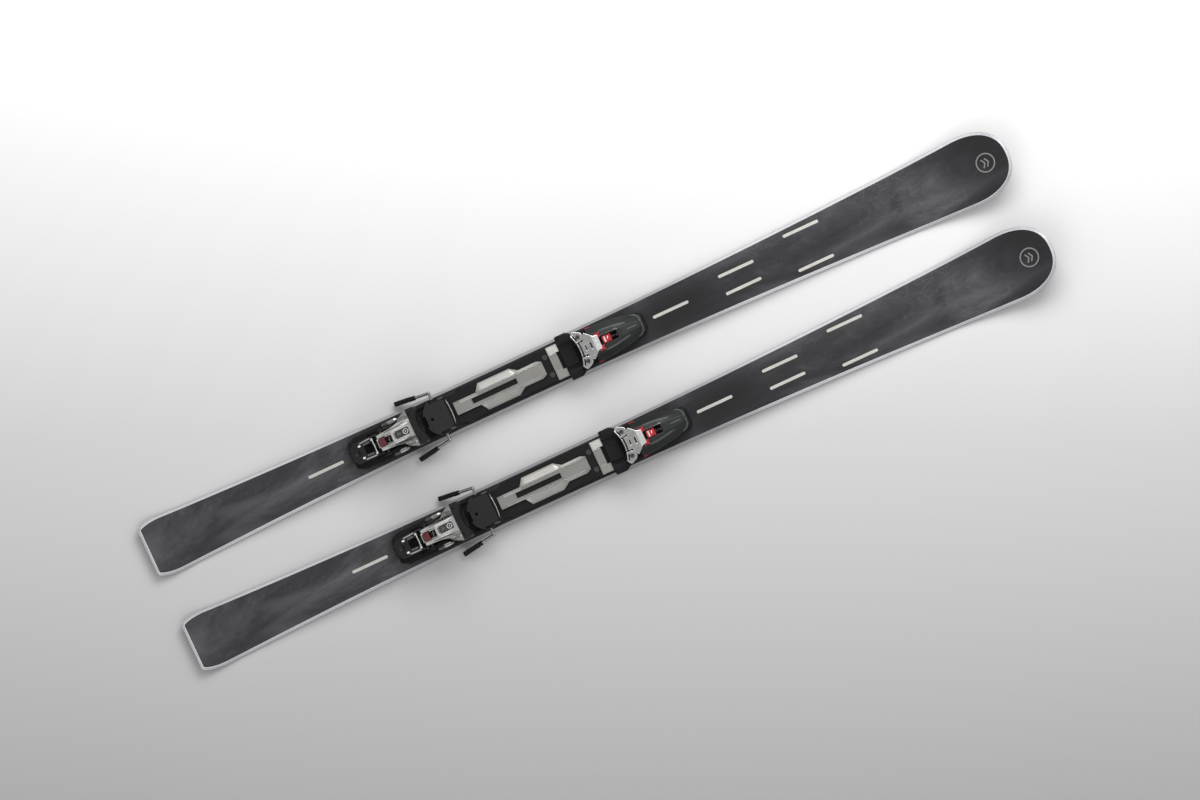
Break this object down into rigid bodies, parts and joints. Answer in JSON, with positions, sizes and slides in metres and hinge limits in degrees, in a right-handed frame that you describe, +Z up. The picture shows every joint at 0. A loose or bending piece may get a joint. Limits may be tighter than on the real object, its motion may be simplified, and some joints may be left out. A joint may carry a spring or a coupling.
{
  "type": "pair of alpine skis with bindings",
  "caption": "Pair of carving skis with rail-mounted step-in bindings: sprung toe wings, sliding heel piece with lever, and sprung ski brakes.",
  "frame": {"origin": "on the floor, under the centre of the pair's bounding box, midway between the two skis", "axes": "+Y along the skis towards the tips, +X towards the right-hand ski, +Z up from the floor through the top surface"},
  "size_m": [0.318, 1.71, 0.1019],
  "materials": {
    "base_black": "sintered base, fine ground structure",
    "edge_steel": "ground steel edge",
    "core_wood": "laminated pale wood",
    "sidewall_silver": "metallic silver sidewall",
    "topsheet_smoke": "charcoal with smoky grey clouds, satin",
    "inlay_champagne": "satin champagne silver",
    "plate_black": "fine-grained black nylon",
    "cover_satin": "satin warm grey",
    "screw_steel": "zinc plated",
    "slider_black": "low-friction coating",
    "housing_grey": "dark grey glass-filled nylon",
    "cast_silver": "bright cast and tumbled",
    "accent_red": "gloss",
    "spring_steel": "oiled spring wire",
    "indicator_red": "red and white marks",
    "heel_silver": "cast silver with brighter ridges",
    "jaw_black": "fine-grained nylon",
    "lever_black": "fine-grained nylon",
    "indicator_dark_red": "dark red window",
    "wire_dark_steel": "dark chromed spring wire",
    "pad_black": "moulded black",
    "pedal_black": "moulded black"
  },
  "bodies": {
    "left_ski": {"left_running_base": "base_black", "left_steel_edges": "edge_steel", "left_wood_core": "core_wood", "left_sidewalls": "sidewall_silver", "left_topsheet": "topsheet_smoke", "left_topsheet_inlays": "inlay_champagne", "left_binding_plate": "plate_black", "left_rail_covers": "cover_satin", "left_screws": "screw_steel", "left_toe_base": "plate_black", "left_toe_housing": "housing_grey", "left_toe_bridge": "cast_silver", "left_toe_trim": "accent_red", "left_toe_spring": "spring_steel"},
    "left_slider": {"left_afd_slider": "slider_black"},
    "left_wing_outer": {"left_toe_wing_outer": "cast_silver"},
    "left_wing_inner": {"left_toe_wing_inner": "cast_silver"},
    "left_toe_screw": {"left_toe_din_screw": "screw_steel"},
    "left_toe_gauge": {"left_toe_indicator": "indicator_red"},
    "left_carriage": {"left_heel_carriage": "plate_black", "left_heel_axles": "screw_steel"},
    "left_heel": {"left_heel_housing": "heel_silver", "left_heel_jaw": "jaw_black", "left_heel_spring": "spring_steel"},
    "left_lever": {"left_heel_lever": "lever_black"},
    "left_heel_screw": {"left_heel_din_screw": "screw_steel"},
    "left_heel_gauge": {"left_heel_indicator": "indicator_dark_red"},
    "left_brake": {"left_brake_arms": "wire_dark_steel", "left_brake_pads": "pad_black"},
    "left_pedal": {"left_brake_pedal": "pedal_black"},
    "right_ski": {"right_running_base": "base_black", "right_steel_edges": "edge_steel", "right_wood_core": "core_wood", "right_sidewalls": "sidewall_silver", "right_topsheet": "topsheet_smoke", "right_topsheet_inlays": "inlay_champagne", "right_binding_plate": "plate_black", "right_rail_covers": "cover_satin", "right_screws": "screw_steel", "right_toe_base": "plate_black", "right_toe_housing": "housing_grey", "right_toe_bridge": "cast_silver", "right_toe_trim": "accent_red", "right_toe_spring": "spring_steel"},
    "right_slider": {"right_afd_slider": "slider_black"},
    "right_wing_outer": {"right_toe_wing_outer": "cast_silver"},
    "right_wing_inner": {"right_toe_wing_inner": "cast_silver"},
    "right_toe_screw": {"right_toe_din_screw": "screw_steel"},
    "right_toe_gauge": {"right_toe_indicator": "indicator_red"},
    "right_carriage": {"right_heel_carriage": "plate_black", "right_heel_axles": "screw_steel"},
    "right_heel": {"right_heel_housing": "heel_silver", "right_heel_jaw": "jaw_black", "right_heel_spring": "spring_steel"},
    "right_lever": {"right_heel_lever": "lever_black"},
    "right_heel_screw": {"right_heel_din_screw": "screw_steel"},
    "right_heel_gauge": {"right_heel_indicator": "indicator_dark_red"},
    "right_brake": {"right_brake_arms": "wire_dark_steel", "right_brake_pads": "pad_black"},
    "right_pedal": {"right_brake_pedal": "pedal_black"}
  },
  "joints": [
    {"name": "left_wing_outer_pivot", "type": "hinge", "parent": "left_ski", "child": "left_wing_outer", "pos_m": [-0.1175, 0.0105, 0.05], "axis": [0, 0, -1], "range_deg": [0, 45], "stiffness_Nm_per_rad": 0.1, "springref_deg": -11.46},
    {"name": "left_wing_inner_pivot", "type": "hinge", "parent": "left_ski", "child": "left_wing_inner", "pos_m": [-0.0705, 0.0105, 0.05], "axis": [0, 0, 1], "range_deg": [0, 45], "stiffness_Nm_per_rad": 0.1, "springref_deg": -11.46},
    {"name": "left_slider_slide", "type": "slide", "parent": "left_ski", "child": "left_slider", "axis": [1, 0, 0], "range_m": [-0.007, 0.007], "stiffness_N_per_m": 300},
    {"name": "left_toe_screw_turn", "type": "hinge", "parent": "left_ski", "child": "left_toe_screw", "pos_m": [-0.094, 0.11, 0.0465], "axis": [0, -1, 0], "range_deg": [-720, 720]},
    {"name": "left_toe_gauge_slide", "type": "slide", "parent": "left_ski", "child": "left_toe_gauge", "axis": [0, 1, 0], "range_m": [-0.0025, 0.0025]},
    {"name": "left_carriage_slide", "type": "slide", "parent": "left_ski", "child": "left_carriage", "axis": [0, 1, 0], "range_m": [-0.015, 0.015]},
    {"name": "left_heel_pivot", "type": "hinge", "parent": "left_carriage", "child": "left_heel", "pos_m": [-0.094, -0.384, 0.05], "axis": [1, 0, 0], "range_deg": [-18, 0]},
    {"name": "left_lever_pivot", "type": "hinge", "parent": "left_heel", "child": "left_lever", "pos_m": [-0.094, -0.39257, 0.05373], "axis": [1, 0, 0], "range_deg": [-22.01, 0.01]},
    {"name": "left_heel_screw_turn", "type": "hinge", "parent": "left_heel", "child": "left_heel_screw", "pos_m": [-0.094, -0.39298, 0.05497], "axis": [0, 0.9511, 0.309], "range_deg": [-720, 720]},
    {"name": "left_heel_gauge_slide", "type": "slide", "parent": "left_heel", "child": "left_heel_gauge", "axis": [0, 0.9511, 0.309], "range_m": [-0.0025, 0.0025]},
    {"name": "left_brake_pivot", "type": "hinge", "parent": "left_carriage", "child": "left_brake", "pos_m": [-0.094, -0.275, 0.0372], "axis": [1, 0, 0], "range_deg": [-36, 24], "stiffness_Nm_per_rad": 0.3, "springref_deg": 28.65},
    {"name": "left_pedal_pivot", "type": "hinge", "parent": "left_carriage", "child": "left_pedal", "pos_m": [-0.094, -0.26, 0.0382], "axis": [1, 0, 0], "range_deg": [-11.5, 17.1]},
    {"name": "right_wing_outer_pivot", "type": "hinge", "parent": "right_ski", "child": "right_wing_outer", "pos_m": [0.1175, 0.0105, 0.05], "axis": [0, 0, 1], "range_deg": [0, 45], "stiffness_Nm_per_rad": 0.1, "springref_deg": -11.46},
    {"name": "right_wing_inner_pivot", "type": "hinge", "parent": "right_ski", "child": "right_wing_inner", "pos_m": [0.0705, 0.0105, 0.05], "axis": [0, 0, -1], "range_deg": [0, 45], "stiffness_Nm_per_rad": 0.1, "springref_deg": -11.46},
    {"name": "right_slider_slide", "type": "slide", "parent": "right_ski", "child": "right_slider", "axis": [1, 0, 0], "range_m": [-0.007, 0.007], "stiffness_N_per_m": 300},
    {"name": "right_toe_screw_turn", "type": "hinge", "parent": "right_ski", "child": "right_toe_screw", "pos_m": [0.094, 0.11, 0.0465], "axis": [0, -1, 0], "range_deg": [-720, 720]},
    {"name": "right_toe_gauge_slide", "type": "slide", "parent": "right_ski", "child": "right_toe_gauge", "axis": [0, 1, 0], "range_m": [-0.0025, 0.0025]},
    {"name": "right_carriage_slide", "type": "slide", "parent": "right_ski", "child": "right_carriage", "axis": [0, 1, 0], "range_m": [-0.015, 0.015]},
    {"name": "right_heel_pivot", "type": "hinge", "parent": "right_carriage", "child": "right_heel", "pos_m": [0.094, -0.384, 0.05], "axis": [1, 0, 0], "range_deg": [-18, 0]},
    {"name": "right_lever_pivot", "type": "hinge", "parent": "right_heel", "child": "right_lever", "pos_m": [0.094, -0.39257, 0.05373], "axis": [1, 0, 0], "range_deg": [-22.01, 0.01]},
    {"name": "right_heel_screw_turn", "type": "hinge", "parent": "right_heel", "child": "right_heel_screw", "pos_m": [0.094, -0.39298, 0.05497], "axis": [0, 0.9511, 0.309], "range_deg": [-720, 720]},
    {"name": "right_heel_gauge_slide", "type": "slide", "parent": "right_heel", "child": "right_heel_gauge", "axis": [0, 0.9511, 0.309], "range_m": [-0.0025, 0.0025]},
    {"name": "right_brake_pivot", "type": "hinge", "parent": "right_carriage", "child": "right_brake", "pos_m": [0.094, -0.275, 0.0372], "axis": [1, 0, 0], "range_deg": [-36, 24], "stiffness_Nm_per_rad": 0.3, "springref_deg": 28.65},
    {"name": "right_pedal_pivot", "type": "hinge", "parent": "right_carriage", "child": "right_pedal", "pos_m": [0.094, -0.26, 0.0382], "axis": [1, 0, 0], "range_deg": [-11.5, 17.1]},
    {"name": "right_ski_slide", "type": "slide", "parent": "left_ski", "child": "right_ski", "axis": [0, 1, 0], "range_m": [-0.3, 0.3]}
  ],
  "couplings": [
    {"joint": "left_toe_screw_turn", "follows": "left_toe_gauge_slide", "rad_per_m": 5026.5},
    {"joint": "left_lever_pivot", "follows": "left_heel_pivot", "ratio": 1.2222},
    {"joint": "left_heel_screw_turn", "follows": "left_heel_gauge_slide", "rad_per_m": 5026.5},
    {"joint": "left_pedal_pivot", "follows": "left_brake_pivot", "ratio": -0.472},
    {"joint": "right_toe_screw_turn", "follows": "right_toe_gauge_slide", "rad_per_m": 5026.5},
    {"joint": "right_lever_pivot", "follows": "right_heel_pivot", "ratio": 1.2222},
    {"joint": "right_heel_screw_turn", "follows": "right_heel_gauge_slide", "rad_per_m": 5026.5},
    {"joint": "right_pedal_pivot", "follows": "right_brake_pivot", "ratio": -0.472}
  ]
}
